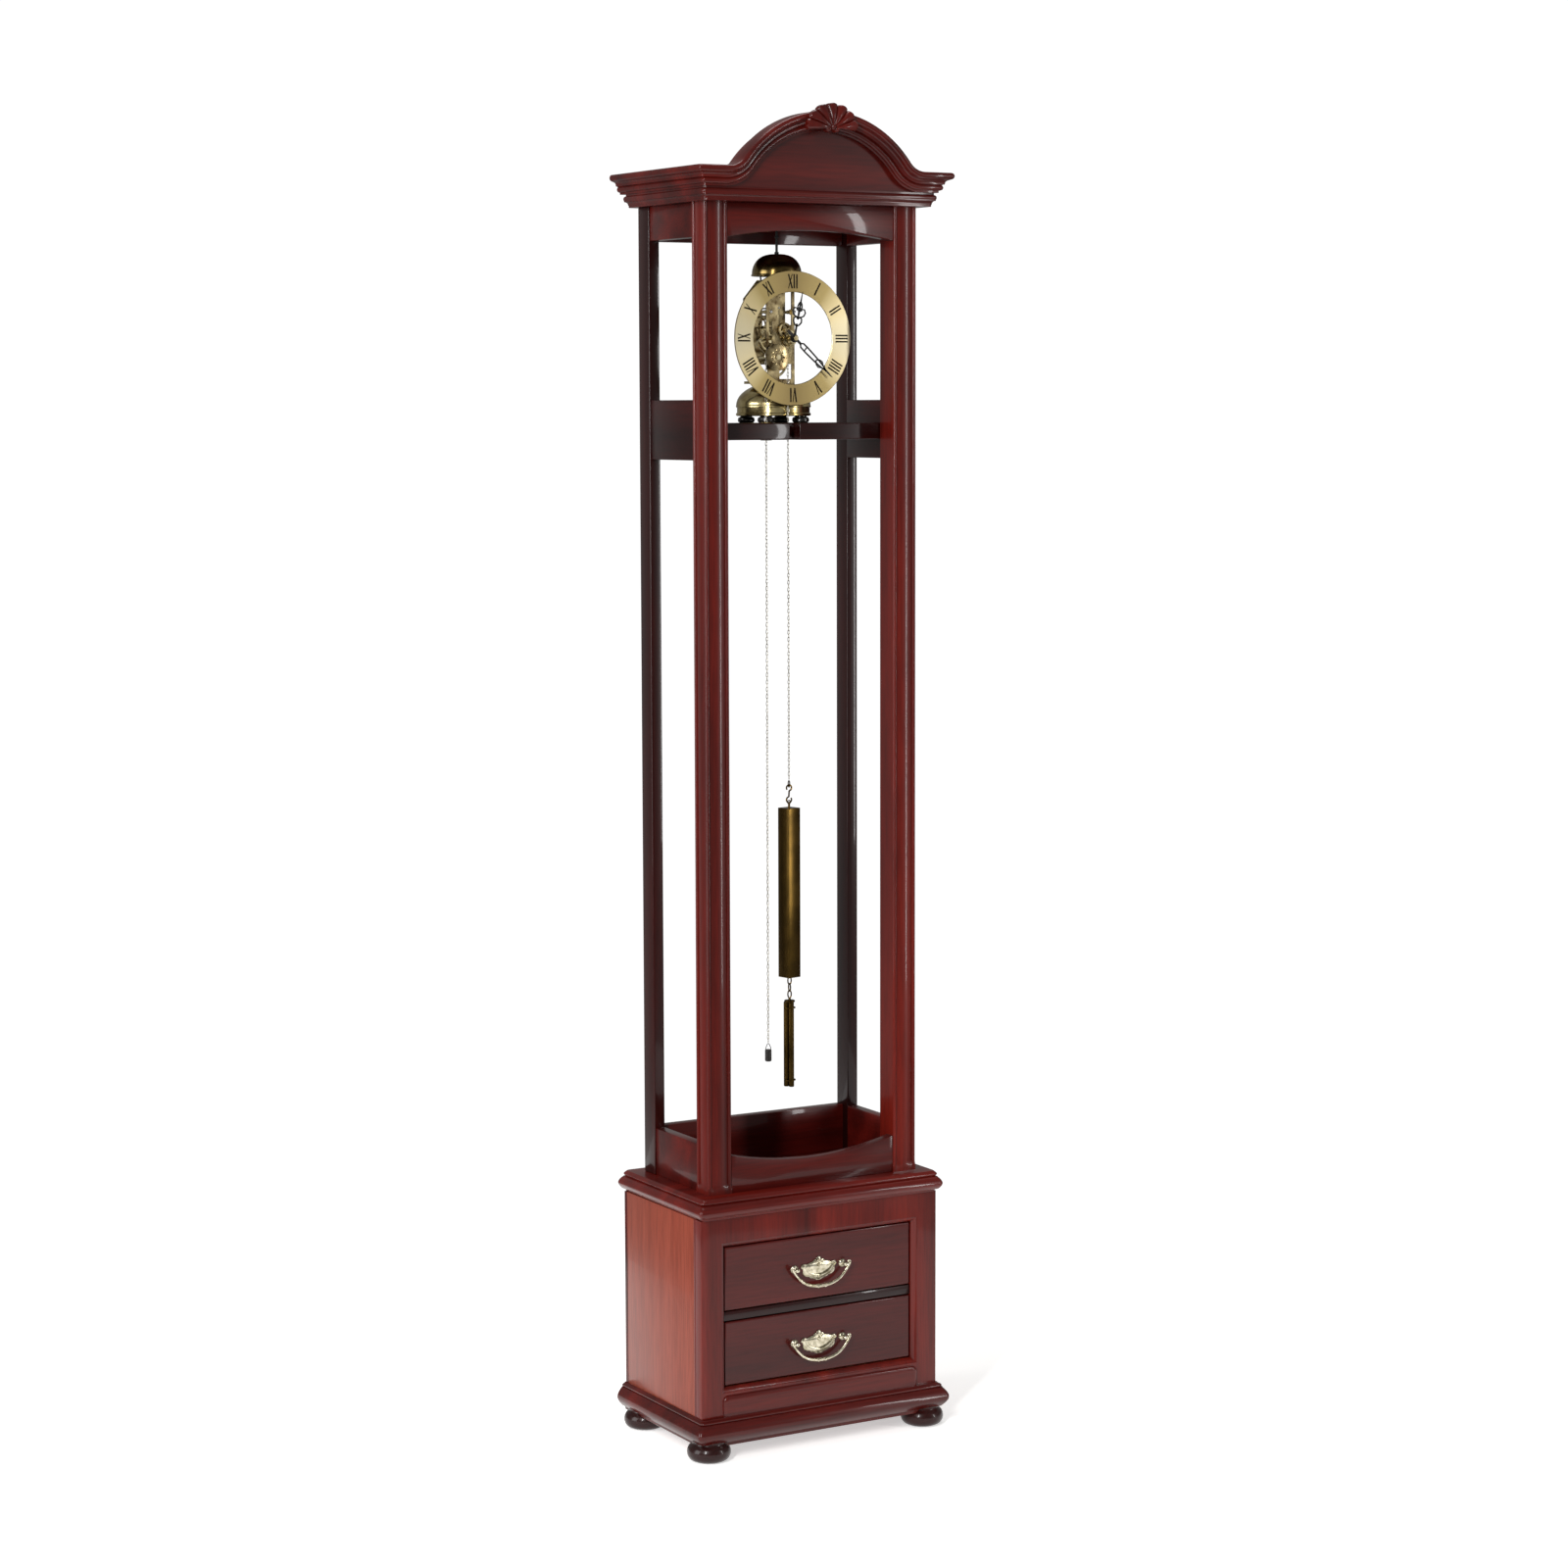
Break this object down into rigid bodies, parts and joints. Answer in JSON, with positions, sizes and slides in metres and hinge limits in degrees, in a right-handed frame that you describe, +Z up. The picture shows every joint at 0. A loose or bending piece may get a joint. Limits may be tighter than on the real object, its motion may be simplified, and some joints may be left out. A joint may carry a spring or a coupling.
{
  "type": "grandfather clock",
  "caption": "Open-frame longcase clock: drawer base, four posts, arched crown, skeleton movement with open dial ring, bell and chain-hung weights.",
  "frame": {"origin": "on the floor, at the middle of the footprint's bounding box", "axes": "+Z up, front (dial and drawers) towards -Y, +X to the viewer's right"},
  "size_m": [0.442, 0.302, 2],
  "materials": {
    "mahogany": "deep red-brown gloss polish",
    "drawer_wood": "bare, sanded",
    "brass": "polished",
    "dial_brass": "pale brushed",
    "antique_brass": "dark antique",
    "steel": "satin",
    "black_metal": "black satin"
  },
  "bodies": {
    "case": {"bun_feet": "mahogany", "plinth_moulding": "mahogany", "base_floor": "mahogany", "base_sides": "mahogany", "base_back": "mahogany", "face_frame": "mahogany", "drawer_runners": "drawer_wood", "waist_board": "mahogany", "front_posts": "mahogany", "back_posts": "mahogany", "tray_rails": "mahogany", "middle_rails": "mahogany", "seat_board": "mahogany", "top_rails": "mahogany", "cornice_bed": "mahogany", "crown_front": "mahogany", "crown_returns": "mahogany", "top_board": "mahogany", "tympanum": "mahogany", "bonnet_roof": "mahogany", "shell_carving": "mahogany", "dome_base": "brass", "dome_feet": "black_metal", "movement_table": "brass", "front_plate": "brass", "back_plate": "brass", "plate_pillars": "brass", "dial_pillars": "brass", "dial_ring": "dial_brass", "bell": "antique_brass", "bell_rod": "steel", "chain_loop": "steel"},
    "upper_drawer": {"upper_drawer_front": "mahogany", "upper_drawer_box": "drawer_wood", "upper_handle_plate": "brass"},
    "lower_drawer": {"lower_drawer_front": "mahogany", "lower_drawer_box": "drawer_wood", "lower_handle_plate": "brass"},
    "upper_pull": {"upper_bail": "brass"},
    "lower_pull": {"lower_bail": "brass"},
    "minute_arbor": {"center_wheel": "brass", "minute_hand": "black_metal", "hand_nut": "brass"},
    "hour_pipe": {"hour_wheel": "brass", "hour_hand": "black_metal"},
    "motion_wheel": {"minute_wheel": "brass"},
    "great_arbor": {"great_wheel": "brass"},
    "sprocket": {"chain_sprocket": "brass"},
    "ratchet_click": {"click": "steel"},
    "third_arbor": {"third_wheel": "brass"},
    "escape_arbor": {"escape_wheel": "brass"},
    "pallet_arbor": {"pallet_lever": "steel"},
    "balance": {"balance_wheel": "brass"},
    "hammer": {"bell_hammer": "steel"},
    "weight": {"weight_chain": "steel", "weight_links": "antique_brass", "main_weight": "antique_brass", "small_weight": "antique_brass"},
    "tail": {"tail_chain": "steel", "tail_weight": "black_metal"}
  },
  "joints": [
    {"name": "upper_drawer_slide", "type": "slide", "parent": "case", "child": "upper_drawer", "axis": [0, -1, 0], "range_m": [0, 0.15]},
    {"name": "lower_drawer_slide", "type": "slide", "parent": "case", "child": "lower_drawer", "axis": [0, -1, 0], "range_m": [0, 0.15]},
    {"name": "upper_bail_swing", "type": "hinge", "parent": "upper_drawer", "child": "upper_pull", "pos_m": [0, -0.107, 0.272], "axis": [-1, 0, 0], "range_deg": [0, 90]},
    {"name": "lower_bail_swing", "type": "hinge", "parent": "lower_drawer", "child": "lower_pull", "pos_m": [0, -0.107, 0.158], "axis": [-1, 0, 0], "range_deg": [0, 90]},
    {"name": "minute_hand_turn", "type": "hinge", "parent": "case", "child": "minute_arbor", "pos_m": [0, 0.017, 1.664], "axis": [0, 1, 0], "continuous": true},
    {"name": "hour_hand_turn", "type": "hinge", "parent": "case", "child": "hour_pipe", "pos_m": [0, 0.017, 1.664], "axis": [0, 1, 0], "continuous": true},
    {"name": "motion_wheel_turn", "type": "hinge", "parent": "case", "child": "motion_wheel", "pos_m": [-0.008, 0.017, 1.676], "axis": [0, 1, 0], "continuous": true},
    {"name": "great_wheel_turn", "type": "hinge", "parent": "case", "child": "great_arbor", "pos_m": [-0.024, 0.017, 1.636], "axis": [0, 1, 0], "continuous": true},
    {"name": "third_wheel_turn", "type": "hinge", "parent": "case", "child": "third_arbor", "pos_m": [-0.014, 0.017, 1.6805], "axis": [0, 1, 0], "continuous": true},
    {"name": "escape_wheel_turn", "type": "hinge", "parent": "case", "child": "escape_arbor", "pos_m": [-0.02, 0.017, 1.6964], "axis": [0, 1, 0], "continuous": true},
    {"name": "balance_swing", "type": "hinge", "parent": "case", "child": "balance", "pos_m": [-0.014, 0.017, 1.724], "axis": [0, 1, 0], "range_deg": [-120, 120]},
    {"name": "pallet_rock", "type": "hinge", "parent": "case", "child": "pallet_arbor", "pos_m": [-0.017, 0.017, 1.709], "axis": [0, 1, 0], "range_deg": [-3.2, 3.2]},
    {"name": "hammer_swing", "type": "hinge", "parent": "case", "child": "hammer", "pos_m": [-0.022, 0.017, 1.738], "axis": [0, 1, 0], "range_deg": [0, 12]},
    {"name": "click_lift", "type": "hinge", "parent": "great_arbor", "child": "ratchet_click", "pos_m": [-0.0105, 0.017, 1.636], "axis": [0, 1, 0], "range_deg": [0, 12]},
    {"name": "weight_slide", "type": "slide", "parent": "case", "child": "weight", "axis": [0, 0, 1], "range_m": [-0.13, 0.17], "deforming": ["weight_chain"]},
    {"name": "tail_slide", "type": "slide", "parent": "case", "child": "tail", "axis": [0, 0, 1], "range_m": [-0.1701, 0.1301], "deforming": ["tail_chain"]},
    {"name": "sprocket_turn", "type": "hinge", "parent": "case", "child": "sprocket", "pos_m": [-0.024, 0.017, 1.636], "axis": [0, 1, 0], "range_deg": [-520, 398]}
  ],
  "couplings": [
    {"joint": "hour_hand_turn", "follows": "minute_hand_turn", "ratio": 0.083333},
    {"joint": "motion_wheel_turn", "follows": "minute_hand_turn", "ratio": -0.33333},
    {"joint": "great_wheel_turn", "follows": "minute_hand_turn", "ratio": -0.14286},
    {"joint": "third_wheel_turn", "follows": "minute_hand_turn", "ratio": -8},
    {"joint": "escape_wheel_turn", "follows": "minute_hand_turn", "ratio": 60},
    {"joint": "pallet_rock", "follows": "balance_swing", "ratio": -0.025},
    {"joint": "tail_slide", "follows": "weight_slide", "ratio": -1},
    {"joint": "sprocket_turn", "follows": "weight_slide", "rad_per_m": -53.333}
  ]
}
